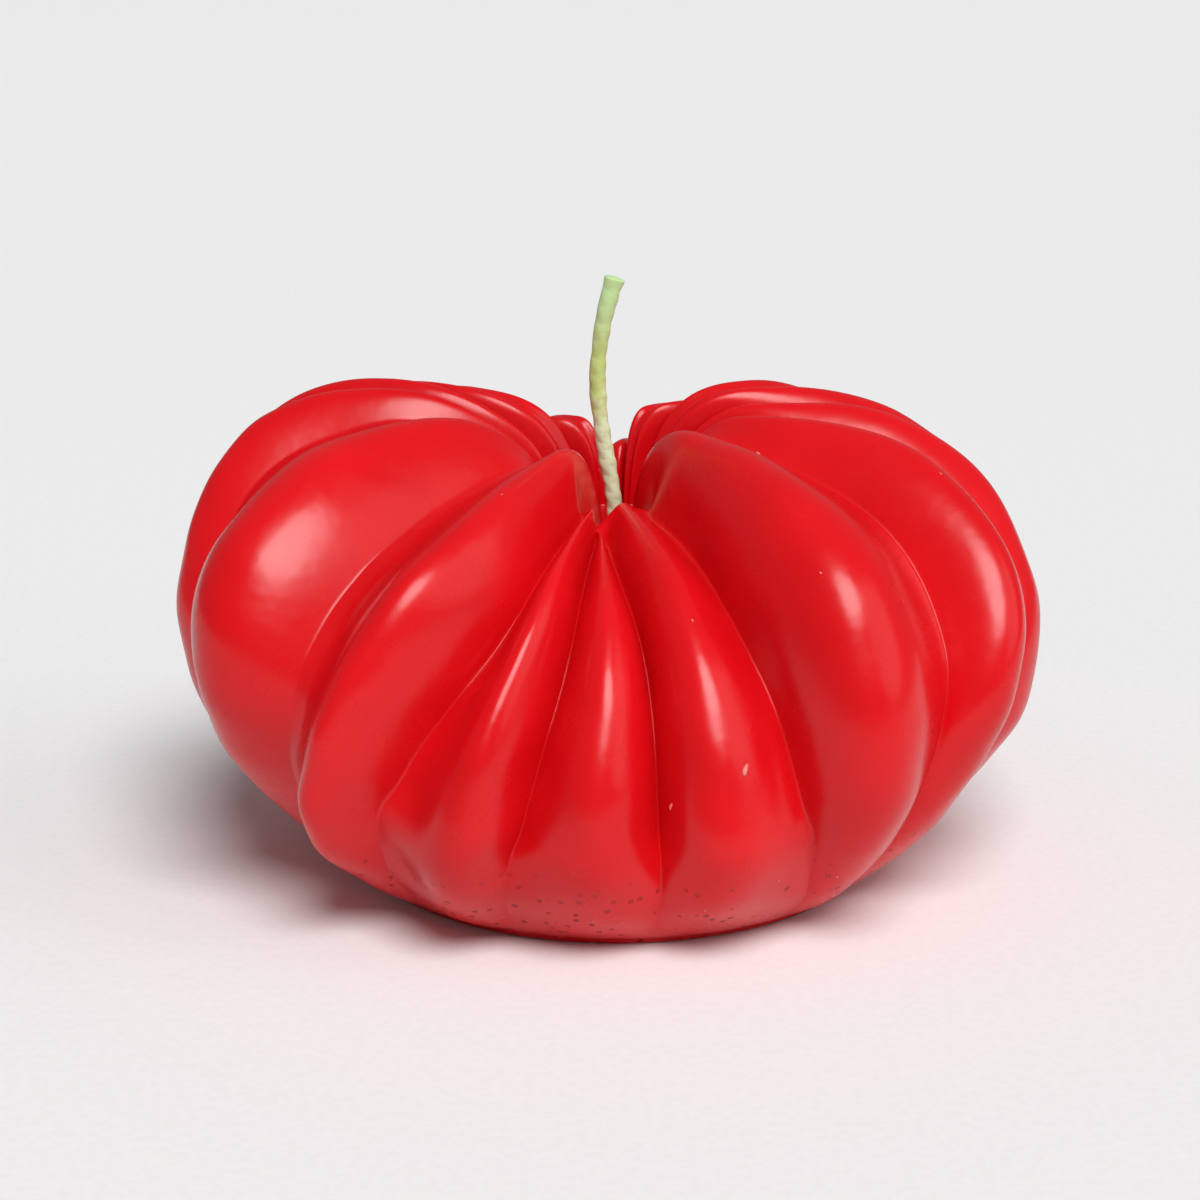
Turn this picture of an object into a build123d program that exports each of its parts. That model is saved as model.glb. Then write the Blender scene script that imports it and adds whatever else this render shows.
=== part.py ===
from build123d import *

import os
from collections import namedtuple
from math import cos, pi, radians, sin, tan

# A candle moulded in the shape of a ribbed tomato. It is one casting of wax round one braided
# wick, which runs straight up the middle and stands free above the hollow in the top.
# Sizes are millimetres. The candle stands on Z = 0 and is seen from the front along +Y.

# Driving dimensions of the wax
BODY_RADIUS = 56.0        # from the wick to the lobe that reaches furthest
BODY_HEIGHT = 60.0        # from the table to the highest lobe
FOOT_RADIUS = 32.5        # the flat round foot
DIMPLE_DEPTH = 18.0       # floor of the hollow round the wick, below the highest lobe
DIMPLE_RADIUS = 2.5       # the narrow floor of that hollow
RECESS_RADIUS = 9.0       # shallow dish that the cooling wax leaves in the foot
RECESS_DEPTH = 0.9

# Driving dimensions of the wick
WICK_DIAMETER = 2.1
WICK_STUB = 0.3           # length of the cut lower end that shows in the dish
WICK_AXIS = (1.1, -0.2)   # where the wick stands, from the middle of the outline

# How each lobe swells from the foot and over the top: larger powers give a flatter curve
FLANK_POWER = 1.4
LIFT_POWER = 0.8
INNER_POWER = 0.85

# One lobe between two creases. Bearings are seen from above, in degrees from the front (-Y)
# towards +X. The crease is the one on the lobe's lower bearing.
Lobe = namedtuple("Lobe", "bearing inset drop waist crown crease")
# bearing: where the crease runs       inset: how far the lobe falls short of BODY_RADIUS
# drop: how far it is below the top    waist: height of its widest point
# crown: its highest point's radius    crease: how deep the crease is cut
LOBES = [
    Lobe(6.5, 12.0, 13.0, 28.0, 6.0, 6.5),
    Lobe(25.0, 5.5, 5.0, 30.5, 14.0, 6.5),
    Lobe(56.0, 2.5, 3.0, 31.0, 24.0, 5.5),
    Lobe(77.0, 2.5, 2.5, 31.5, 27.0, 4.0),
    Lobe(92.0, 2.5, 2.0, 32.0, 27.0, 4.5),
    Lobe(110.0, 3.5, 1.0, 32.0, 25.0, 6.0),
    Lobe(130.0, 6.0, 2.0, 32.0, 22.0, 5.0),
    Lobe(148.0, 8.5, 4.0, 31.0, 18.0, 6.5),
    Lobe(166.0, 11.0, 8.0, 30.0, 15.0, 6.0),
    Lobe(183.0, 10.5, 9.0, 30.0, 15.0, 5.5),
    Lobe(197.0, 8.5, 6.0, 31.0, 18.0, 6.0),
    Lobe(215.0, 6.0, 2.0, 32.0, 22.0, 6.0),
    Lobe(233.0, 3.0, 0.5, 34.0, 26.0, 5.5),
    Lobe(251.0, 1.5, 0.5, 35.0, 31.0, 6.0),
    Lobe(266.0, 0.5, 1.0, 35.0, 36.0, 4.5),
    Lobe(279.0, 0.5, 1.5, 35.0, 35.0, 4.5),
    Lobe(292.0, 1.0, 3.0, 34.0, 26.0, 6.0),
    Lobe(312.5, 3.0, 5.5, 31.0, 14.0, 6.5),
    Lobe(335.5, 9.5, 13.0, 28.0, 7.0, 7.0),
    Lobe(348.0, 12.0, 16.0, 27.0, 6.0, 6.0),
]

# A lobe's outline has three quarter turns: flank, shoulder and the inner side of the hollow
FLANK_TURNS = [0, 30, 60]
SHOULDER_TURNS = [0, 30, 60]
INNER_TURNS = [0, 30, 60, 90]
# Share of the crease's full depth at each point from the second of the flank to the top.
# Creases fade out towards the foot.
CREASE_SHARES = [0.1, 0.4, 0.75, 0.95, 1.0, 0.9]

# Sections across a lobe, from -1 at its own crease to 1 at the next, and how round it is
ACROSS = [-1.0, -0.6, 0.0, 0.6, 1.0]
ROUNDNESS = 0.75

# Sizes that follow
DIMPLE_FLOOR = BODY_HEIGHT - DIMPLE_DEPTH
WICK_RADIUS = WICK_DIAMETER / 2
WICK_FOOT = RECESS_DEPTH - WICK_STUB
CORE_RADIUS = WICK_RADIUS - 0.25    # where the lobes end, inside the wick's bore
CUT_MARGIN = 2.0          # solids run this far past a face that they are cut at

# The wick's route: straight through the wax, then leaning one way and back the other
wick_x, wick_y = WICK_AXIS
WICK_ROUTE = [
    (wick_x, wick_y, WICK_FOOT),
    (wick_x, wick_y, 46.0),
    (wick_x - 1.5, wick_y + 0.3, 53.5),
    (wick_x - 2.45, wick_y + 0.2, 61.3),
    (wick_x - 1.85, wick_y - 0.1, 67.4),
    (wick_x - 1.1, wick_y - 0.4, 71.2),
    (wick_x - 0.1, wick_y - 0.5, 74.6),
]


def inner_side(crown, top):
    """Points (radius, height) from a highest point down the side of the hollow to its floor."""
    points = []
    for turn in map(radians, INNER_TURNS):
        radius = crown - (crown - DIMPLE_RADIUS) * sin(turn) ** INNER_POWER
        points.append(Vector(radius, DIMPLE_FLOOR + (top - DIMPLE_FLOOR) * cos(turn)))
    return points


def crest_outline(lobe):
    """Points (radius, height) over the middle of a lobe, from the foot to the hollow."""
    reach = BODY_RADIUS - lobe.inset
    top = BODY_HEIGHT - lobe.drop
    points = []
    for turn in map(radians, FLANK_TURNS):
        radius = FOOT_RADIUS + (reach - FOOT_RADIUS) * sin(turn) ** FLANK_POWER
        points.append(Vector(radius, lobe.waist * (1 - cos(turn)) ** LIFT_POWER))
    for turn in map(radians, SHOULDER_TURNS):
        radius = lobe.crown + (reach - lobe.crown) * cos(turn)
        points.append(Vector(radius, lobe.waist + (top - lobe.waist) * sin(turn)))
    return points + inner_side(lobe.crown, top)


def crease_outline(number):
    """Points along the crease before a lobe: midway between two crests, and cut in."""
    crests = [crest_outline(LOBES[number - 1]), crest_outline(LOBES[number])]
    middle = [(before + after) / 2 for before, after in zip(*crests)]
    points = [middle[0]]
    for place, share in enumerate(CREASE_SHARES, start=1):
        along = middle[place + 1] - middle[place - 1]
        outward = Vector(along.Y, -along.X).normalized()
        points.append(middle[place] - outward * (LOBES[number].crease * share))
    top = points.pop()
    return points + inner_side(top.X, top.Y)


def lobe_outline(number, across):
    """Points of one section through a lobe, blended between its crest and its two creases."""
    crest = crest_outline(LOBES[number])
    before = crease_outline(number)
    after = crease_outline((number + 1) % len(LOBES))
    rise = (1 - across**2) ** ROUNDNESS
    share = (across + 1) / 2
    creases = [low * (1 - share) + high * share for low, high in zip(before, after)]
    return [low * (1 - rise) + high * rise for low, high in zip(creases, crest)]


def upright_plane(bearing):
    """A plane that stands on the wick's line, with its x axis pointing out along the bearing."""
    outward = Vector(sin(radians(bearing)), -cos(radians(bearing)), 0)
    return Plane(origin=(wick_x, wick_y, 0), x_dir=outward, z_dir=outward.cross(Vector(0, 0, 1)))


def lobe_skin(number):
    """The faces of one lobe, lofted from crease to crease, without the flat sides between lobes."""
    start = LOBES[number].bearing
    width = (LOBES[(number + 1) % len(LOBES)].bearing - start) % 360
    with BuildPart() as lobe:
        for across in ACROSS:
            outline = lobe_outline(number, across)
            with BuildSketch(upright_plane(start + width * (across + 1) / 2)):
                with BuildLine():
                    skin = Spline(*outline)
                    Polyline(
                        skin @ 1,
                        (CORE_RADIUS, DIMPLE_FLOOR),
                        (CORE_RADIUS, -CUT_MARGIN),
                        (FOOT_RADIUS, -CUT_MARGIN),
                        skin @ 0,
                    )
                make_face()
        loft()
    return lobe.faces().filter_by(GeomType.PLANE, reverse=True)


# The lobes meet along their creases, so their skins close into one solid ring round the wick
skins = [face for number in range(len(LOBES)) for face in lobe_skin(number)]
lobe_ring = Solid(Shell(skins))

# The wax casting: the ring of lobes, the flat foot with its dish, and the bore that the wax
# keeps round the wick
with BuildPart() as wax_body:
    add(lobe_ring)
    split(bisect_by=Plane.XY, keep=Keep.TOP)
    dish_radius = (RECESS_RADIUS**2 + RECESS_DEPTH**2) / (2 * RECESS_DEPTH)
    with Locations((wick_x, wick_y, RECESS_DEPTH - dish_radius)):
        Sphere(dish_radius, mode=Mode.SUBTRACT)
    with Locations((wick_x, wick_y, 0)):
        Cylinder(
            WICK_RADIUS,
            BODY_HEIGHT,
            align=(Align.CENTER, Align.CENTER, Align.MIN),
            mode=Mode.SUBTRACT,
        )
wax_body.part.label = "wax_body"

# The wick: one tube of straight runs joined by arcs that are as large as the runs allow
route = [Vector(*point) for point in WICK_ROUTE]
runs = [end - start for start, end in zip(route, route[1:])]
radii = []
for before, after in zip(runs, runs[1:]):
    half_turn = before.get_angle(after) / 2 * pi / 180
    radii.append(0.45 * min(before.length, after.length) / tan(half_turn))
print("wick bend radii, mm:", [round(radius, 1) for radius in radii])

with BuildPart() as wick:
    with BuildLine() as wick_line:
        FilletPolyline(*route, radius=radii)
    with BuildSketch(Plane(origin=route[0], z_dir=runs[0])):
        Circle(WICK_RADIUS)
    sweep()
wick.part.label = "wick"
wick_length = sum(edge.length for edge in wick_line.edges())
print("wick length, mm:", round(wick_length, 2))
print("wick volume over section times length:", wick.part.volume / (pi * WICK_RADIUS**2 * wick_length))

os.makedirs("parts", exist_ok=True)
for piece in (wax_body, wick):
    export_step(piece.part, f"parts/{piece.part.label}.step")
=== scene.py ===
from collections import namedtuple
from math import cos, pi, radians, sin

import bpy
import numpy as np
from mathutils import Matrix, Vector


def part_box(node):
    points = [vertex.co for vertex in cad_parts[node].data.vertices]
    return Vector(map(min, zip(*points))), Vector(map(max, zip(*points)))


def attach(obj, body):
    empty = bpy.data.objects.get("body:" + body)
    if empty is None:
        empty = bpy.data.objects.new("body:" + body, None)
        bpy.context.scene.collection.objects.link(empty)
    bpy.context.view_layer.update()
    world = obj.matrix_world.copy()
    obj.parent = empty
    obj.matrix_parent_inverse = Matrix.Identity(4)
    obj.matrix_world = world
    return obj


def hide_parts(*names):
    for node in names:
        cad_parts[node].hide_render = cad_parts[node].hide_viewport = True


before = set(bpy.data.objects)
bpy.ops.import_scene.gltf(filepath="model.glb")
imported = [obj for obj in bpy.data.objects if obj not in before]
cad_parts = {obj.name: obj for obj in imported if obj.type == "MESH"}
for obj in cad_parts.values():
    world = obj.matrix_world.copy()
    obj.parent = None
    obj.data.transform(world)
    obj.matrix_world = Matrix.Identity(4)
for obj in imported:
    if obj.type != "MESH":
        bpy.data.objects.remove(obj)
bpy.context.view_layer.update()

# A candle moulded as a ribbed tomato: the wax casting with its creases, foot and small
# blemishes, and the braided wick that stands in the hollow at its top.
# The wax is drawn up in millimetres and then fitted to the CAD body's box.

MM = 0.001
BODY = "root"


# ---------------------------------------------------------------- sizes shared with the CAD part

WICK_DIAMETER = 2.1 * MM
WICK_X = 1.1 * MM
WICK_Y = -0.2 * MM
WICK_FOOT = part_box("wick")[0][2]
DIMPLE_FLOOR = 42.0 * MM

# The wick's route from where it leaves the wax
WICK_ROUTE = [
    (WICK_X, WICK_Y, DIMPLE_FLOOR),
    (WICK_X, WICK_Y, 46.0 * MM),
    (WICK_X - 1.5 * MM, WICK_Y + 0.3 * MM, 53.5 * MM),
    (WICK_X - 2.45 * MM, WICK_Y + 0.2 * MM, 61.3 * MM),
    (WICK_X - 1.85 * MM, WICK_Y - 0.1 * MM, 67.4 * MM),
    (WICK_X - 1.1 * MM, WICK_Y - 0.4 * MM, 71.2 * MM),
    (WICK_X - 0.1 * MM, WICK_Y - 0.5 * MM, 74.6 * MM),
]


# ---------------------------------------------------------------- camera

CAMERA_ELEVATION = radians(16)
CAMERA_DISTANCE = 333 * MM
CAMERA_TARGET = Vector((WICK_X - 1.95 * MM, WICK_Y, 33 * MM))
SENSOR_WIDTH = 36
LENS_LENGTH = 78


def make_camera():
    """A long lens that looks a little down on the front of the candle."""
    data = bpy.data.cameras.new("camera")
    data.sensor_width = SENSOR_WIDTH
    data.lens = LENS_LENGTH
    camera = bpy.data.objects.new("camera", data)
    bpy.context.collection.objects.link(camera)
    back = Vector((0, -cos(CAMERA_ELEVATION), sin(CAMERA_ELEVATION)))
    camera.location = CAMERA_TARGET + back * CAMERA_DISTANCE
    camera.rotation_euler = back.to_track_quat("Z", "Y").to_euler()
    bpy.context.scene.camera = camera


make_camera()


# ---------------------------------------------------------------- materials

def new_material(name):
    """A node material; returns it with its node tree and its Principled shader."""
    material = bpy.data.materials.new(name)
    material.use_nodes = True
    tree = material.node_tree
    return material, tree, tree.nodes["Principled BSDF"]


def node(tree, kind, **settings):
    """A new node, with its inputs set by name and its other settings by attribute."""
    made = tree.nodes.new(kind)
    for name, value in settings.items():
        if name in made.inputs:
            made.inputs[name].default_value = value
        else:
            setattr(made, name, value)
    return made


def own_space(tree):
    """A point's place on its object, in metres."""
    return node(tree, "ShaderNodeTexCoord").outputs["Object"]


def noise(tree, scale, detail=3.0):
    """A noise texture on the object; scale counts features per metre."""
    made = node(tree, "ShaderNodeTexNoise", Scale=scale, Detail=detail)
    tree.links.new(own_space(tree), made.inputs["Vector"])
    return made.outputs["Fac"]


def ramp(tree, value, stops):
    """A colour ramp through (position, colour) stops."""
    made = node(tree, "ShaderNodeValToRGB")
    elements = made.color_ramp.elements
    while len(elements) < len(stops):
        elements.new(1.0)
    for element, (position, colour) in zip(elements, stops):
        element.position = position
        element.color = (*colour, 1.0)
    tree.links.new(value, made.inputs["Fac"])
    return made.outputs["Color"]


def remap(tree, value, low, high, to_low, to_high):
    """Stretches a value from one range to another, clamped."""
    made = node(tree, "ShaderNodeMapRange")
    for name, number in (
        ("From Min", low),
        ("From Max", high),
        ("To Min", to_low),
        ("To Max", to_high),
    ):
        made.inputs[name].default_value = number
    tree.links.new(value, made.inputs["Value"])
    return made.outputs["Result"]


def height_share(tree, low, high):
    """How far up a point is between two heights, from 0 to 1."""
    parts = node(tree, "ShaderNodeSeparateXYZ")
    tree.links.new(own_space(tree), parts.inputs["Vector"])
    return remap(tree, parts.outputs["Z"], low, high, 0.0, 1.0)


def bump(tree, shader, layers):
    """Stacks (height, depth in metres) layers into the shader's normal."""
    normal = None
    for height, depth in layers:
        made = node(tree, "ShaderNodeBump", Strength=1.0, Distance=depth)
        tree.links.new(height, made.inputs["Height"])
        if normal is not None:
            tree.links.new(normal, made.inputs["Normal"])
        normal = made.outputs["Normal"]
    tree.links.new(normal, shader.inputs["Normal"])


def set_subsurface(shader, weight, radius, scale):
    """How light soaks in: its share, how far each colour goes, and the size of it all."""
    shader.inputs["Subsurface Weight"].default_value = weight
    shader.inputs["Subsurface Radius"].default_value = radius
    shader.inputs["Subsurface Scale"].default_value = scale


# Nearly all of a noise texture's values lie between these
NOISE_LOW = 0.3
NOISE_HIGH = 0.7

WAX_DARK = (0.59, 0.002, 0.005)
WAX_LIGHT = (0.69, 0.004, 0.008)
WAX_ROUGHNESS = (0.22, 0.29)
WAX_CLOUDS = 45           # features per metre, like the other scales
WAX_SMEARS = 160
WAX_GRAIN = 420
WAX_GRAIN_DEPTH = 0.04 * MM
PIT_SCALE = 520
PIT_EDGE = (0.08, 0.20)   # from a pit's floor to the skin, as shares of the pits' spacing
PIT_DEPTH = 0.2 * MM
# Painted shade: the dark red laid on the floors of the pits
PIT_SHADE_COLOUR = (0.22, 0.001, 0.003, 1.0)
PITS_FULL = 5 * MM        # all the pits show below this height
PITS_GONE = 13 * MM       # and none above this one


def pitted_skin(tree):
    """1 on smooth skin and 0 on the floor of the small pits near the foot."""
    pits = node(tree, "ShaderNodeTexVoronoi", Scale=PIT_SCALE)
    tree.links.new(own_space(tree), pits.inputs["Vector"])
    pit_floor = remap(tree, pits.outputs["Distance"], *PIT_EDGE, 0.0, 1.0)
    skin = node(tree, "ShaderNodeMath", operation="MAXIMUM")
    tree.links.new(pit_floor, skin.inputs[0])
    tree.links.new(height_share(tree, PITS_FULL, PITS_GONE), skin.inputs[1])
    return skin.outputs[0]


def wax_material():
    """Dyed wax: deep red that light soaks into, with a satin skin and pits near the foot, their
    floors darkened with painted shade.
    """
    material, tree, shader = new_material("red_wax")
    clouds = noise(tree, WAX_CLOUDS, detail=4)
    colour = ramp(tree, clouds, [(NOISE_LOW, WAX_DARK), (NOISE_HIGH, WAX_LIGHT)])
    skin = pitted_skin(tree)
    # Painted shade: the pits' floors take a dark red in place of the wax colour
    pit_shaded = node(tree, "ShaderNodeMix", data_type="RGBA")
    pit_shaded.inputs["A"].default_value = PIT_SHADE_COLOUR
    tree.links.new(skin, pit_shaded.inputs["Factor"])
    tree.links.new(colour, pit_shaded.inputs["B"])
    tree.links.new(pit_shaded.outputs["Result"], shader.inputs["Base Color"])
    smears = noise(tree, WAX_SMEARS, detail=5)
    roughness = remap(tree, smears, NOISE_LOW, NOISE_HIGH, *WAX_ROUGHNESS)
    tree.links.new(roughness, shader.inputs["Roughness"])
    set_subsurface(shader, 0.3, (1.0, 0.12, 0.08), 3 * MM)
    shader.inputs["IOR"].default_value = 1.45
    shader.inputs["Specular IOR Level"].default_value = 0.40
    bump(tree, shader, [(noise(tree, WAX_GRAIN, detail=1), WAX_GRAIN_DEPTH), (skin, PIT_DEPTH)])
    return material


# The wick's colours go by height, 0 at the hollow's floor and 1 at DYE_TOP, and blotches push
# them further up, by as much as BLOTCH_REACH
DYE_TOP = 75 * MM
WICK_BLOTCHES = 380
BLOTCH_REACH = 0.7
WICK_DYE = [
    (0.30, (0.60, 0.70, 0.46)),
    (0.60, (0.64, 0.74, 0.48)),
    (0.85, (0.66, 0.74, 0.42)),
    (0.98, (0.50, 0.62, 0.18)),
    (1.15, (0.52, 0.70, 0.32)),
    (1.45, (0.46, 0.66, 0.30)),
]
COTTON_GRAIN = 4000
COTTON_GRAIN_DEPTH = 0.05 * MM


def wick_material():
    """Waxed cotton braid, cream where it leaves the candle and dyed green above."""
    material, tree, shader = new_material("wick_braid")
    wander = node(tree, "ShaderNodeMath", operation="MULTIPLY_ADD")
    tree.links.new(noise(tree, WICK_BLOTCHES, detail=4), wander.inputs[0])
    wander.inputs[1].default_value = BLOTCH_REACH
    tree.links.new(height_share(tree, DIMPLE_FLOOR, DYE_TOP), wander.inputs[2])
    furthest = 1 + BLOTCH_REACH
    spread = remap(tree, wander.outputs[0], 0.0, furthest, 0.0, 1.0)
    stops = [(place / furthest, colour) for place, colour in WICK_DYE]
    tree.links.new(ramp(tree, spread, stops), shader.inputs["Base Color"])
    shader.inputs["Roughness"].default_value = 0.6
    set_subsurface(shader, 0.2, (1.0, 0.9, 0.5), 0.5 * MM)
    bump(tree, shader, [(noise(tree, COTTON_GRAIN, detail=4), COTTON_GRAIN_DEPTH)])
    return material


FLECK_DARK = (0.72, 0.10, 0.09)
FLECK_LIGHT = (0.80, 0.30, 0.24)
FLECK_MOTTLE = 1500
FLECK_GRAIN = 6000
FLECK_GRAIN_DEPTH = 0.03 * MM


def fleck_material():
    """Bare crumbs of wax, paler than the dyed skin."""
    material, tree, shader = new_material("pale_fleck")
    mottle = noise(tree, FLECK_MOTTLE)
    colour = ramp(tree, mottle, [(NOISE_LOW, FLECK_DARK), (NOISE_HIGH, FLECK_LIGHT)])
    tree.links.new(colour, shader.inputs["Base Color"])
    shader.inputs["Roughness"].default_value = 0.5
    bump(tree, shader, [(noise(tree, FLECK_GRAIN), FLECK_GRAIN_DEPTH)])
    return material


# ---------------------------------------------------------------- meshes

def around(count):
    """Evenly spaced angles round a circle."""
    return np.linspace(0, 2 * pi, count, endpoint=False)


def object_from(name, vertices, faces, material, slot):
    """A mesh object that rides on the candle and takes the given material; the slot is not used.
    """
    mesh = bpy.data.meshes.new(name)
    mesh.from_pydata([tuple(v) for v in vertices], [], faces)
    mesh.validate()
    mesh.polygons.foreach_set("use_smooth", [True] * len(mesh.polygons))
    mesh.materials.append(material)
    made = bpy.data.objects.new(name, mesh)
    bpy.context.collection.objects.link(made)
    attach(made, BODY)
    return made


def closed_grid(grid):
    """Vertices and faces of a tube of rings, grid[ring][place], closed by a point at each end."""
    rings, places, _ = grid.shape
    vertices = np.concatenate([grid.reshape(-1, 3), [grid[0].mean(axis=0), grid[-1].mean(axis=0)]])
    first, last = rings * places, rings * places + 1
    faces = []
    for ring in range(rings - 1):
        for place in range(places):
            after = (place + 1) % places
            low, high = ring * places, (ring + 1) * places
            faces.append((low + place, low + after, high + after, high + place))
    for place in range(places):
        after = (place + 1) % places
        faces.append((first, after, place))
        faces.append((last, (rings - 1) * places + place, (rings - 1) * places + after))
    return vertices, faces


def joined(grids):
    """Vertices and faces of several closed grids as one mesh."""
    vertices, faces = [], []
    for grid in grids:
        more_vertices, more_faces = closed_grid(np.array(grid))
        faces += [tuple(index + len(vertices) for index in face) for face in more_faces]
        vertices += list(more_vertices)
    return vertices, faces


# ---------------------------------------------------------------- wick

def read_route():
    """Points along the smooth line that the wick's route controls."""
    data = bpy.data.curves.new("wick_route", "CURVE")
    data.dimensions = "3D"
    data.resolution_u = 24
    spline = data.splines.new("NURBS")
    spline.points.add(len(WICK_ROUTE) - 1)
    for point, place in zip(spline.points, WICK_ROUTE):
        point.co = (*place, 1.0)
    spline.order_u = 3
    spline.use_endpoint_u = True
    line = bpy.data.objects.new("wick_route", data)
    bpy.context.collection.objects.link(line)
    mesh = bpy.data.meshes.new_from_object(line)
    points = np.array([tuple(v.co) for v in mesh.vertices])
    bpy.data.objects.remove(line)
    return points


def resample(points, count):
    """The same line with evenly spaced points."""
    steps = np.linalg.norm(np.diff(points, axis=0), axis=1)
    along = np.concatenate([[0], np.cumsum(steps)])
    even = np.linspace(0, along[-1], count)
    return np.stack([np.interp(even, along, points[:, axis]) for axis in range(3)], axis=1), even


BRAID_PITCH = 6.5 * MM
BRAID_STRANDS = 3
LEFT_HAND_SHARE = 0.7     # how far the strands of the left hand stand out beside the right ones
BRAID_LEVEL = 0.75        # the part of a strand's height that lies inside BRAID_RADIUS
# Sizes as shares of the wick's radius
BRAID_RADIUS = 0.97
BRAID_RELIEF = 0.10
LUMPS = [(0.05, 23, 1), (0.03, 51, 0), (0.02, 97, 0)]     # height, rate and start of each wave
TIP_FLARE = 0.34
TIP_FLATTENING = 1.28     # how much thinner the flare is than wide, as a share of the flare
TIP_CURVE = 1.6           # power by which the flare grows
TIP_ROUNDING = (0.97, 0.88, 0.6)
# Places along the wick, from 0 at the wax to 1 at the tip
TIP_FROM = 0.84
BARE_UNTIL = 0.3
WAXED_FROM = 0.6
WAXED_RELIEF = 0.45       # what is left of the relief from there on, where wax fills the braid
WICK_PLACES = 48
WICK_RINGS = 420


def wick_frame(count):
    """Places along the wick, with its length so far and its two crosswise directions at each."""
    path, along = resample(read_route(), count)
    tangents = np.gradient(path, axis=0)
    tangents /= np.linalg.norm(tangents, axis=1)[:, None]
    side = np.cross(tangents, (0, 1, 0))
    side /= np.linalg.norm(side, axis=1)[:, None]
    return path, along, side, np.cross(side, tangents)


def make_wick(material):
    """The standing length of the wick: a waxed braid pressed nearly round, flared at the cut."""
    path, along, side, front = wick_frame(WICK_RINGS)
    share = along / along[-1]
    angle = around(WICK_PLACES)
    turn = 2 * pi * along[:, None] / BRAID_PITCH
    right_hand = np.abs(np.sin(BRAID_STRANDS * (angle - turn) / 2))
    left_hand = np.abs(np.sin(BRAID_STRANDS * (angle + turn) / 2))
    relief = np.maximum(right_hand, left_hand * LEFT_HAND_SHARE) - BRAID_LEVEL
    bareness = np.interp(share, [BARE_UNTIL, WAXED_FROM], [1.0, WAXED_RELIEF])
    lumps = sum(height * np.sin(share * rate + start) for height, rate, start in LUMPS)
    flare = TIP_FLARE * np.clip((share - TIP_FROM) / (1 - TIP_FROM), 0, 1) ** TIP_CURVE
    across = BRAID_RADIUS + BRAID_RELIEF * relief * bareness[:, None] + (lumps + flare)[:, None]
    deep = across - TIP_FLATTENING * flare[:, None]
    rim = np.ones(WICK_RINGS)
    rim[-len(TIP_ROUNDING):] = TIP_ROUNDING
    rim = rim[:, None] * WICK_DIAMETER / 2
    x_way = (across * rim * np.cos(angle))[..., None] * side[:, None]
    y_way = (deep * rim * np.sin(angle))[..., None] * front[:, None]
    skin = closed_grid(path[:, None] + x_way + y_way)
    made = object_from("wick_braid", *skin, material, "wick_braid")
    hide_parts("wick")


FIBRE_COUNT = 26
FIBRE_RADIUS = 0.035 * MM
FIBRE_LENGTH = 1.1 * MM
FIBRE_SPREAD = (0.5, 1.3)  # its shortest and longest, as shares of that length
FIBRE_SEED = 3
FIBRE_ROOT = 0.46         # where it starts, as a share of the wick's diameter
FIBRE_CURL = 0.3          # how far its end stands off, as a share of its length
FIBRE_PLACES = 60         # places along the wick where one may grow,
FIBRE_MARGIN = 4          # but for these few at each end


def make_fibres(material):
    """Stray cotton ends that stand off the braid."""
    path, _, side, front = wick_frame(FIBRE_PLACES)
    chance = np.random.default_rng(FIBRE_SEED)
    angle = around(5)
    fibres = []
    for _ in range(FIBRE_COUNT):
        place = chance.integers(FIBRE_MARGIN, FIBRE_PLACES - FIBRE_MARGIN)
        facing = chance.uniform(0, 2 * pi)
        outwards = cos(facing) * side[place] + sin(facing) * front[place]
        upwards = path[place + 1] - path[place]
        upwards = upwards / np.linalg.norm(upwards) * chance.choice([-1, 1])
        sideways = np.cross(outwards, upwards)
        length = FIBRE_LENGTH * chance.uniform(*FIBRE_SPREAD)
        circle = np.cos(angle)[:, None] * outwards + np.sin(angle)[:, None] * sideways
        rings = []
        for share in np.linspace(0, 1, 8):
            away = WICK_DIAMETER * FIBRE_ROOT + FIBRE_CURL * length * share**1.5
            centre = path[place] + outwards * away + upwards * length * share
            rings.append(centre + FIBRE_RADIUS * (1 - 0.5 * share) * circle)
        fibres.append(rings)
    object_from("wick_fibres", *joined(fibres), material, "wick_braid")


# Height above the wick's lower end in mm, and share of its radius there, from the cut upwards
WICK_FOOT_PROFILE = [(0.02, 0.4), (0.0, 0.88), (0.08, 1.0), (0.3, 1.02), (2.5, 1.0)]
WICK_FOOT_LOBES = 0.05    # how far its three strands bulge


def make_wick_foot(material):
    """The wick's lower end, cut off in the dish under the foot."""
    angle = around(32)
    bulge = 1 + WICK_FOOT_LOBES * np.sin(BRAID_STRANDS * angle)
    rings = []
    for height, share in WICK_FOOT_PROFILE:
        radius = WICK_DIAMETER / 2 * share * bulge
        ring = np.stack([radius * np.cos(angle), radius * np.sin(angle), 0 * angle], axis=1)
        rings.append(ring + (WICK_X, WICK_Y, WICK_FOOT + height * MM))
    object_from("wick_foot", *closed_grid(np.array(rings)), material, "wick_braid")


braid = wick_material()
make_wick(braid)
make_fibres(braid)
make_wick_foot(braid)


# ---------------------------------------------------------------- wax body

BODY_RADIUS = 56.0
BODY_HEIGHT = 60.0
FOOT_RADIUS = 32.5
FOOT_EDGE = 0.7           # rounding of the foot's edge
DIMPLE_DEPTH = 18.0
RECESS_RADIUS = 9.0       # the dish under the foot
RECESS_DEPTH = 0.9
# Powers that shape a lobe's outline: how it spreads and lifts off the foot, and how its inner
# side closes in
FLANK_POWER = 1.4
LIFT_POWER = 0.8
INNER_POWER = 0.85

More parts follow.
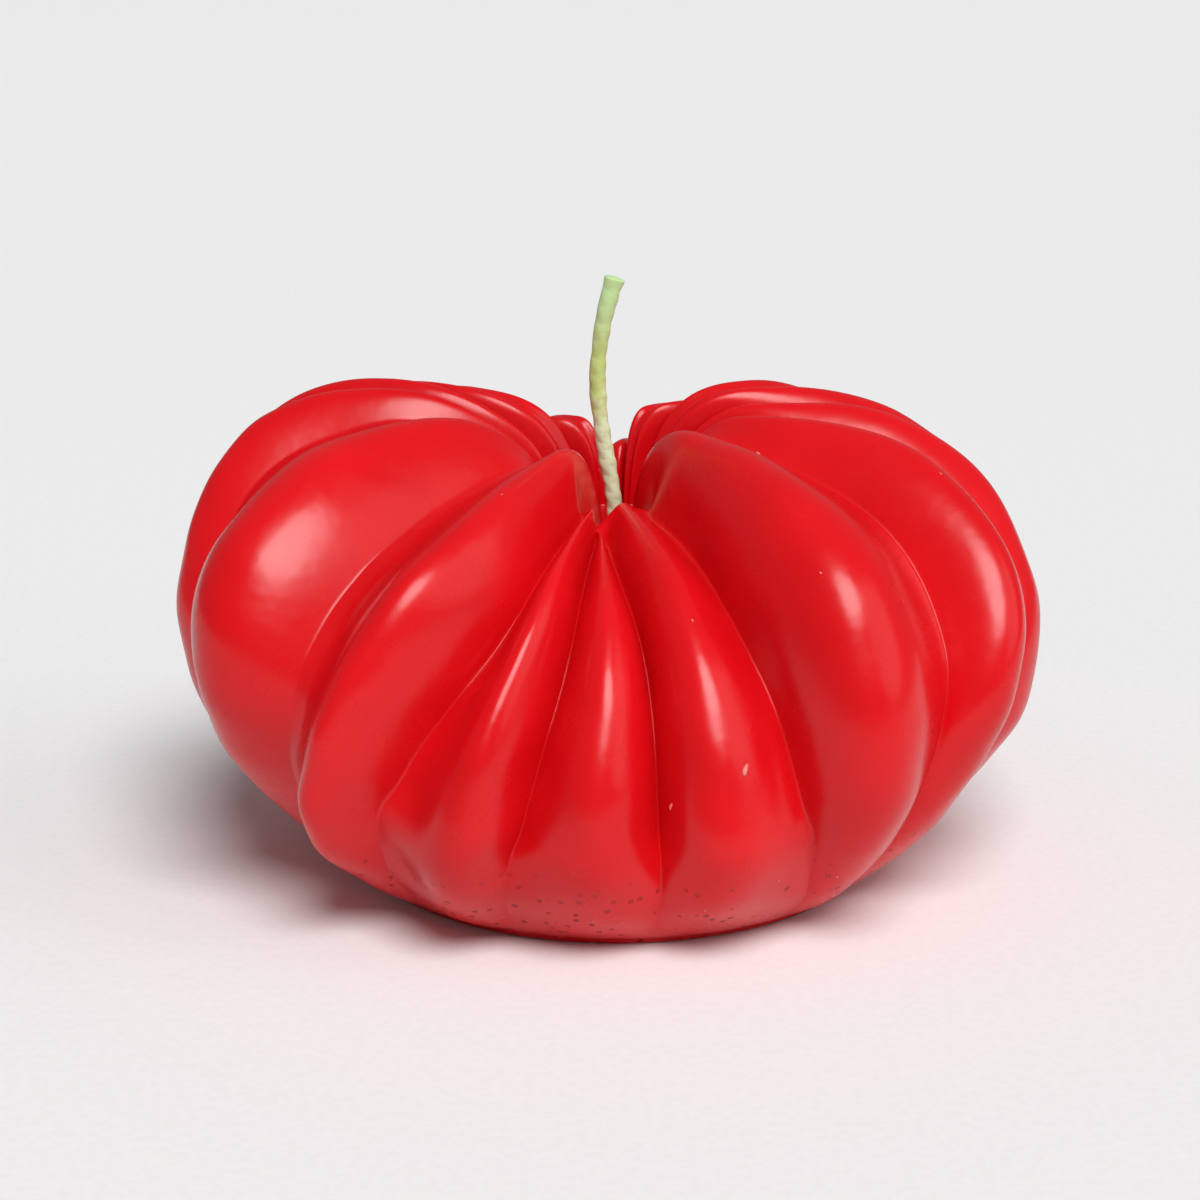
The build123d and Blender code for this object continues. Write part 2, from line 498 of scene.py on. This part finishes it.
# Bearings of each crease at the foot, the waist, the shoulder and the hollow, because creases
# wind a little round the body; how deep it is outside and inside the hollow; how soft it is.
CREASE_TURNS = [0, 1, 1.75, 2.4]
Crease = namedtuple("Crease", "foot waist shoulder hollow depth cleft softness")
CREASES = [
    Crease(8.0, 7.2, 7.5, -30.0, 7.5, 2.0, 0.1),
    Crease(38.0, 30.5, 26.5, 52.0, 6.5, 4.0, 0.2),
    Crease(53.0, 55.5, 73.0, 110.0, 5.5, 4.0, 0.2),
    Crease(70.0, 72.0, 95.0, 119.0, 4.5, 3.5, 0.3),
    Crease(90.0, 90.0, 111.0, 129.0, 4.5, 3.0, 0.3),
    Crease(108.0, 108.0, 126.0, 137.0, 6.0, 0.5, 0.5),
    Crease(129.0, 129.0, 139.0, 145.0, 5.0, 4.0, 0.2),
    Crease(148.0, 148.0, 154.0, 157.0, 6.5, 0.5, 0.5),
    Crease(166.0, 166.0, 168.0, 170.0, 6.0, 2.5, 0.2),
    Crease(183.0, 183.0, 183.0, 183.0, 5.5, 0.5, 0.5),
    Crease(197.0, 197.0, 196.0, 195.0, 6.0, 2.5, 0.2),
    Crease(215.0, 215.0, 210.0, 208.0, 6.0, 0.5, 0.5),
    Crease(232.0, 232.0, 224.0, 221.0, 5.5, 3.5, 0.2),
    Crease(249.0, 248.0, 237.0, 231.0, 6.0, 0.5, 0.5),
    Crease(260.0, 258.0, 245.0, 240.0, 4.5, 3.0, 0.3),
    Crease(270.0, 268.0, 254.0, 250.0, 4.5, 3.0, 0.3),
    Crease(284.0, 281.0, 266.0, 260.0, 3.5, 3.0, 0.6),
    Crease(296.0, 309.0, 305.5, 272.0, 6.5, 4.0, 0.7),
    Crease(316.0, 322.0, 340.5, 324.0, 7.0, 3.0, 0.2),
    Crease(338.0, 343.5, 351.0, 336.0, 6.5, 1.5, 0.1),
]

# The lobe after each crease, drawn as it runs over its middle
Lobe = namedtuple("Lobe", "inset drop waist flatness crown nose")
# inset, drop: how far it falls short of BODY_RADIUS and BODY_HEIGHT
# waist: height of its widest point       flatness: below 1 for a flatter shoulder
# crown, nose: radius of its highest point and of the foot of its inner end
LOBES = [
    Lobe(12.0, 13.0, 15.0, 0.9, 4.0, 1.9),
    Lobe(5.5, 3.3, 22.0, 0.95, 12.0, 1.6),
    Lobe(2.5, 3.0, 31.0, 1.0, 22.0, 7.5),
    Lobe(2.5, 2.5, 31.5, 1.0, 25.0, 7.5),
    Lobe(2.5, 1.7, 32.0, 1.0, 25.0, 6.0),
    Lobe(3.5, 1.7, 32.0, 1.0, 23.0, 5.5),
    Lobe(6.0, 4.5, 32.0, 1.0, 14.0, 3.5),
    Lobe(8.5, 4.8, 31.0, 1.0, 13.0, 3.5),
    Lobe(11.0, 10.0, 30.0, 1.0, 13.0, 4.0),
    Lobe(10.5, 10.0, 30.0, 1.0, 13.0, 4.0),
    Lobe(8.5, 6.0, 31.0, 1.0, 13.0, 3.5),
    Lobe(6.0, 6.0, 32.0, 1.0, 14.0, 3.5),
    Lobe(3.0, 2.0, 34.0, 1.0, 23.0, 6.0),
    Lobe(1.5, 1.5, 35.0, 0.95, 26.0, 6.5),
    Lobe(0.5, 0.7, 35.0, 0.92, 33.0, 7.5),
    Lobe(0.5, 1.0, 35.0, 0.92, 33.0, 8.0),
    Lobe(1.0, 2.5, 33.0, 0.92, 25.0, 7.5),
    Lobe(3.0, 5.3, 23.0, 0.95, 11.0, 1.4),
    Lobe(9.5, 13.0, 16.0, 0.9, 8.0, 6.0),
    Lobe(12.0, 16.0, 15.0, 0.9, 8.5, 7.0),
]

# A lobe's outline is three quarter turns: flank 0 to 1, shoulder 1 to 2, inner side 2 to 3.
# Every place along the outline is given in these turns.
FLANK_ROWS = 90
SHOULDER_ROWS = 80
INNER_ROWS = 70
COLUMNS_PER_LOBE = 24
DISH_ROWS = 14
FOOT_ROWS = 16
HOLLOW_FLOOR_ROWS = 14
EDGE_ANGLES = [22, 45, 68]
INNERMOST = 0.1           # radius of the first ring of the dish and of the flat foot, as a share
HOLLOW_FLOOR_SPAN = (0.93, 0.12)                      # and of the hollow floor's outer and inner
UNDERSIDE_ROWS = DISH_ROWS + FOOT_ROWS + len(EDGE_ANGLES)

LEAN = 0.26               # how far the crests beside the front lean towards it, as a share
LOWER_SHARE = 0.8         # how closely a crease follows the lower lobe as it nears the hollow
LOWER_TURNS = [1.0, 1.8]  # it follows both lobes alike until the first of these
CREASE_FULL = 1.2         # where a crease reaches its full depth
CLEFT_TURNS = [1.5, 2.1]  # where its depth outside changes to its depth inside the hollow
FIRM_POWER = 0.75         # rise of a plump lobe out of a tight crease
SOFT_POWER = 1.3          # rise of a lobe out of a crease that is hardly there
TIGHTNESS_TURNS = [0, 0.6, 1.0, 1.8, 3]
TIGHTNESS = [0.0, 0.2, 0.5, 1.0, 0.8]
BEARING_PASSES = 300      # passes of smoothing along each crease's bearings
ROW_PASSES = 60           # the same over the skin, along its outlines
COLUMN_PASSES = 1         # and round its rings
NOSE_ROW_PASSES = 35      # and more of both over the lobes' inner ends
NOSE_COLUMN_PASSES = 10
NOSE_TURNS = [1.65, 2.0]  # where that smoothing of the inner ends fades in
HOLLOW_DISH = 1.2         # how deep the hollow's floor is dished
SLOT_LENGTH = 10.0        # how far behind the wick the hollow reaches
SLOT_FADE = 14.0          # radius over which that stretch dies away
SWELLS = [(34.0, 0.22), (17.0, 0.09), (8.0, 0.03)]    # wavelength and height of each
SWELL_WAVES = 6           # waves of each length, each in its own direction
SWELL_FROM = 6.0          # the foot below this height stays even
SWELL_SEED = 11
LIP_HEIGHT = 0.3
LIP_PROFILE = [(-1, 0.4), (0, 1.0), (1, 0.4)]         # columns aside, share of the height there
# Crease number, how many columns to its side, and from where to where along the outline
LIPS = [(18, 5, 1.2, 1.75), (19, -5, 1.1, 1.6), (1, -5, 0.9, 1.3)]

floor_height = BODY_HEIGHT - DIMPLE_DEPTH
turns = np.concatenate([
    np.linspace(0, 1, FLANK_ROWS, endpoint=False),
    np.linspace(1, 2, SHOULDER_ROWS, endpoint=False),
    np.linspace(2, 3, INNER_ROWS),
])


def crest_outline(lobe):
    """(radius, height) over the middle of a lobe, from the foot to the floor of the hollow."""
    reach = BODY_RADIUS - lobe.inset
    top = BODY_HEIGHT - lobe.drop
    flank, shoulder, inner = (
        (turns[(turns >= start) & (turns < end)] - start) * pi / 2
        for start, end in ((0, 1), (1, 2), (2, 4))
    )
    radius = np.concatenate([
        FOOT_RADIUS + (reach - FOOT_RADIUS) * np.sin(flank) ** FLANK_POWER,
        lobe.crown + (reach - lobe.crown) * np.cos(shoulder) ** lobe.flatness,
        lobe.crown - (lobe.crown - lobe.nose) * np.sin(inner) ** INNER_POWER,
    ])
    height = np.concatenate([
        lobe.waist * (1 - np.cos(flank)) ** LIFT_POWER,
        lobe.waist + (top - lobe.waist) * np.sin(shoulder),
        floor_height + (top - floor_height) * np.cos(inner),
    ])
    return np.stack([radius, height], axis=1)


def outward(outline):
    """Unit normals of an outline, pointing out of the wax."""
    along = np.gradient(outline, axis=0)
    normal = np.stack([along[:, 1], -along[:, 0]], axis=1)
    return normal / np.linalg.norm(normal, axis=1)[:, None]


def crease_outline(number):
    """(radius, height) along the crease before a lobe: cut in between the crests beside it."""
    crease = CREASES[number]
    higher, lower = sorted((LOBES[number - 1], LOBES[number]), key=lambda lobe: lobe.drop)
    leaning = np.interp(turns, LOWER_TURNS, [0.5, LOWER_SHARE])[:, None]
    middle = crest_outline(lower) * leaning + crest_outline(higher) * (1 - leaning)
    share = (1 - np.cos(pi * np.minimum(turns / CREASE_FULL, 1))) / 2
    depth = np.interp(turns, CLEFT_TURNS, [crease.depth, crease.cleft])
    return middle - outward(middle) * (depth * share)[:, None]


def smooth_rows(grid, passes):
    """Evens out the rows of a grid, leaving its first and last rows."""
    for _ in range(passes):
        grid[1:-1] = (grid[:-2] + 2 * grid[1:-1] + grid[2:]) / 4
    return grid


def crease_bearing(number):
    """Bearing in degrees of the crease before a lobe, at each row."""
    crease = CREASES[number % len(CREASES)]
    lap = 360 * (number // len(CREASES))
    bearings = crease[:len(CREASE_TURNS)]
    return lap + smooth_rows(np.interp(turns, CREASE_TURNS, bearings), BEARING_PASSES)


def smooth_columns(grid, passes):
    """Evens out a grid round its rings, which rounds the bottoms of the creases."""
    for _ in range(passes):
        grid = (np.roll(grid, 1, axis=1) + 2 * grid + np.roll(grid, -1, axis=1)) / 4
    return grid


def round_noses(grid):
    """Melts the lobes' inner ends round the hollow, which start out sharper than wax would be."""
    melted = smooth_columns(smooth_rows(grid.copy(), NOSE_ROW_PASSES), NOSE_COLUMN_PASSES)
    share = np.interp(turns, NOSE_TURNS, [0.0, 1.0])[:, None, None]
    return grid * (1 - share) + melted * share


def lobe_columns(number):
    """One lobe's points (row, column, xyz): its crease first, the next crease left out."""
    share = (1 - np.cos(np.linspace(0, pi, COLUMNS_PER_LOBE, endpoint=False))) / 2
    start = crease_bearing(number)[:, None]
    end = crease_bearing(number + 1)[:, None]
    middle = np.radians((start + end) / 2)
    crest_share = 0.5 - LEAN * np.sin(middle) * np.maximum(np.cos(middle), 0)
    across = 2 * share ** (np.log(0.5) / np.log(crest_share)) - 1
    firm = (1 - across**2) ** FIRM_POWER
    soft = np.cos(across * pi / 2) ** SOFT_POWER
    tightness = np.interp(turns, TIGHTNESS_TURNS, TIGHTNESS)[:, None]
    next_number = (number + 1) % len(LOBES)
    ends = CREASES[number].softness, CREASES[next_number].softness
    softness = 1 - tightness * (1 - ends[0] * (1 - share) - ends[1] * share)
    rise = (firm * (1 - softness) + soft * softness)[..., None]
    crest = crest_outline(LOBES[number])[:, None]
    before = crease_outline(number)[:, None]
    after = crease_outline(next_number)[:, None]
    valley = before * (1 - share)[None, :, None] + after * share[None, :, None]
    radius, height = np.moveaxis(valley * (1 - rise) + crest * rise, 2, 0)
    bearing = np.radians(start + (end - start) * share)
    return np.stack([radius * np.sin(bearing), -radius * np.cos(bearing), height], axis=2)


def underside_rows(first_row):
    """Rows from the middle of the dish out over the flat foot to its rounded edge."""
    radius = np.linalg.norm(first_row[:, :2], axis=1)
    outwards = first_row[:, :2] / radius[:, None]
    rows = []
    for share in np.linspace(INNERMOST, 1, DISH_ROWS):
        height = np.full(len(radius), RECESS_DEPTH * (1 - share**2))
        rows.append(np.column_stack([outwards * RECESS_RADIUS * share, height]))
    for share in np.linspace(INNERMOST, 1, FOOT_ROWS):
        reach = RECESS_RADIUS + (radius - FOOT_EDGE - RECESS_RADIUS) * share
        rows.append(np.column_stack([outwards * reach[:, None], np.zeros(len(radius))]))
    for angle in np.radians(EDGE_ANGLES):
        reach = radius - FOOT_EDGE * (1 - sin(angle))
        height = np.full(len(radius), FOOT_EDGE * (1 - cos(angle)))
        rows.append(np.column_stack([outwards * reach[:, None], height]))
    return np.array(rows)


def hollow_floor_rows(last_row):
    """Rings from the foot of the hollow's sides in to the wick, dished as the wax shrank."""
    middle = np.array([0, 0, last_row[:, 2].mean()])
    rows = []
    for share in np.linspace(*HOLLOW_FLOOR_SPAN, HOLLOW_FLOOR_ROWS):
        row = middle + (last_row - middle) * share
        row[:, 2] -= HOLLOW_DISH * (1 - share**2) * share
        rows.append(row)
    return np.array(rows)


def fit_to(points, low, high):
    """Scales and moves points so that they fill a box exactly."""
    lowest, highest = points.min(axis=(0, 1)), points.max(axis=(0, 1))
    scale = (np.array(high) - np.array(low)) / (highest - lowest)
    return (points - lowest) * scale + np.array(low)


def stretch_hollow(grid):
    """Draws the hollow out into a slot: its sides and back move away behind the wick."""
    radius = np.hypot(grid[..., 0], grid[..., 1])
    backwards = (1 + grid[..., 1] / np.maximum(radius, 0.1)) / 2
    near = np.exp(-((radius / SLOT_FADE) ** 2))
    high = np.clip(grid[..., 2] / floor_height, 0, 1) ** 2
    grid[..., 1] += SLOT_LENGTH * backwards * near * high
    return grid


def away_from_heart(grid):
    """Unit vectors from the middle of the casting out to each point."""
    away = grid - np.array([0, 0, floor_height / 2])
    return away / np.linalg.norm(away, axis=2)[..., None]


def add_unevenness(grid):
    """Slow swells and small dents, as a hand-poured casting keeps from its soft mould."""
    chance = np.random.default_rng(SWELL_SEED)
    swell = np.zeros(grid.shape[:2])
    for wavelength, height in SWELLS:
        for _ in range(SWELL_WAVES):
            direction = chance.normal(size=3)
            direction /= np.linalg.norm(direction)
            phase = chance.uniform(0, 2 * pi)
            swell += height * np.sin(2 * pi * (grid @ direction) / wavelength + phase)
    above_foot = np.clip(grid[..., 2] / SWELL_FROM, 0, 1)
    return grid + away_from_heart(grid) * (swell * above_foot)[..., None]


def add_lips(grid):
    """Fine raised lips beside creases, where the mould pinched."""
    away = away_from_heart(grid)
    for crease, step, start, end in LIPS:
        column = crease * COLUMNS_PER_LOBE + step
        height = LIP_HEIGHT * np.sin(pi * np.clip((turns - start) / (end - start), 0, 1))
        for beside, share in LIP_PROFILE:
            grid[:, column + beside] += away[:, column + beside] * (height * share)[:, None]
    return grid


def make_wax_body(material):
    """The whole casting as one closed grid, from the dish under it over its lobes to the wick."""
    grid = np.concatenate([lobe_columns(number) for number in range(len(LOBES))], axis=1)
    grid = smooth_columns(smooth_rows(grid, ROW_PASSES), COLUMN_PASSES)
    grid = stretch_hollow(round_noses(grid))
    grid = add_lips(add_unevenness(grid))
    grid[:, :, 2] = FOOT_EDGE + grid[:, :, 2] * (1 - FOOT_EDGE / BODY_HEIGHT)
    grid = np.concatenate([underside_rows(grid[0]), grid, hollow_floor_rows(grid[-1])])
    grid = fit_to(grid, *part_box("wax_body"))
    made = object_from("wax_tomato", *closed_grid(grid), material, "red_wax")
    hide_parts("wax_body")
    return grid


# Crumbs of wax stuck to the skin, the last few low on the front: lobe, share across it, place
# along its outline, half length
FLECKS = [
    (0, 0.62, 1.18, 0.70),
    (0, 0.10, 1.10, 0.45),
    (1, 0.55, 1.86, 0.40),
    (0, 0.45, 1.55, 0.22),
    (1, 0.20, 1.50, 0.20),
    (17, 0.70, 1.80, 0.20),
    (2, 0.40, 1.60, 0.25),
    (16, 0.60, 1.20, 0.20),
    (6, 0.50, 1.50, 0.35),
    (12, 0.50, 1.10, 0.30),
    (0, 0.30, 0.55, 0.16),
    (0, 0.80, 0.62, 0.18),
    (1, 0.15, 0.50, 0.18),
    (1, 0.45, 0.58, 0.20),
    (19, 0.60, 0.45, 0.18),
    (17, 0.40, 0.55, 0.16),
    (18, 0.50, 0.60, 0.16),
]


FLECK_WIDTH = 0.5         # its width and its thickness as shares of its length
FLECK_THICKNESS = 0.35
FLECK_TILT = 0.7          # furthest it turns away from the outline's direction, in radians
FLECK_LATITUDES = [-80, -50, -20, 10, 40, 75]
FLECK_SEED = 5


def make_flecks(material, grid):
    """Small flattened lumps half sunk in the skin of the wax."""
    chance = np.random.default_rng(FLECK_SEED)
    outer = grid[UNDERSIDE_ROWS:]
    angle = around(14)
    lumps = []
    for lobe, across, turn, half_length in FLECKS:
        row = int(np.searchsorted(turns, turn))
        column = int((lobe + np.arccos(1 - 2 * across) / pi) * COLUMNS_PER_LOBE)
        up = outer[row + 1, column] - outer[row - 1, column]
        side = outer[row, column + 1] - outer[row, column - 1]
        up /= np.linalg.norm(up)
        side /= np.linalg.norm(side)
        out = np.cross(side, up)
        tilt = chance.uniform(-FLECK_TILT, FLECK_TILT)
        long_way = up * cos(tilt) + side * sin(tilt)
        short_way = side * cos(tilt) - up * sin(tilt)
        wobble = 1 + 0.15 * np.sin(2 * angle + tilt) + 0.1 * np.sin(3 * angle)
        rings = []
        for latitude in np.radians(FLECK_LATITUDES):
            spread = (cos(latitude) * wobble * half_length * MM)[:, None]
            ring = outer[row, column] + spread * np.cos(angle)[:, None] * long_way
            ring = ring + FLECK_WIDTH * spread * np.sin(angle)[:, None] * short_way
            rings.append(ring + FLECK_THICKNESS * half_length * MM * sin(latitude) * out)
        lumps.append(rings)
    object_from("wax_flecks", *joined(lumps), material, "red_wax")


wax_grid = make_wax_body(wax_material())
make_flecks(fleck_material(), wax_grid)


# ---------------------------------------------------------------- floor and light

FLOOR_RADIUS = 4.0
FLOOR_GRAIN = 900
FLOOR_DARK = (0.80, 0.795, 0.795)
FLOOR_LIGHT = (0.83, 0.825, 0.825)
SKY_COLOUR = (0.95, 0.97, 1.0, 1.0)
SKY_LIGHT = 0.20          # how brightly the surround lights the candle
SKY_SEEN = 0.88           # and how bright it looks behind it
# Each soft light's name, direction, power, and how many degrees of sky it fills
WINDOWS = [
    ("right_window", (0.80, -0.30, 0.52), 0.6, 50),
    ("front_window", (0.16, -0.55, 0.82), 2.9, 33),
]


def make_floor():
    """A wide pale floor."""
    material, tree, shader = new_material("pale_floor")
    grain = noise(tree, FLOOR_GRAIN, detail=2)
    colour = ramp(tree, grain, [(NOISE_LOW, FLOOR_DARK), (NOISE_HIGH, FLOOR_LIGHT)])
    tree.links.new(colour, shader.inputs["Base Color"])
    shader.inputs["Roughness"].default_value = 0.9
    bpy.ops.mesh.primitive_circle_add(vertices=96, radius=FLOOR_RADIUS, fill_type="NGON")
    floor = bpy.context.object
    floor.name = "floor"
    floor.data.materials.append(material)


def make_world():
    """An even pale surround, seen brighter than it lights."""
    world = bpy.data.worlds.new("surround")
    bpy.context.scene.world = world
    world.use_nodes = True
    tree = world.node_tree
    background = tree.nodes["Background"]
    background.inputs["Color"].default_value = SKY_COLOUR
    rays = node(tree, "ShaderNodeLightPath")
    strength = remap(tree, rays.outputs["Is Camera Ray"], 0, 1, SKY_LIGHT, SKY_SEEN)
    tree.links.new(strength, background.inputs["Strength"])


def make_window(name, towards, power, width):
    """Soft light from far away in one direction."""
    data = bpy.data.lights.new(name, "SUN")
    data.angle = radians(width)
    data.energy = power
    lamp = bpy.data.objects.new(name, data)
    bpy.context.collection.objects.link(lamp)
    lamp.rotation_euler = Vector(towards).to_track_quat("Z", "Y").to_euler()


make_floor()
make_world()
for window in WINDOWS:
    make_window(*window)
bpy.context.scene.view_settings.view_transform = "Standard"
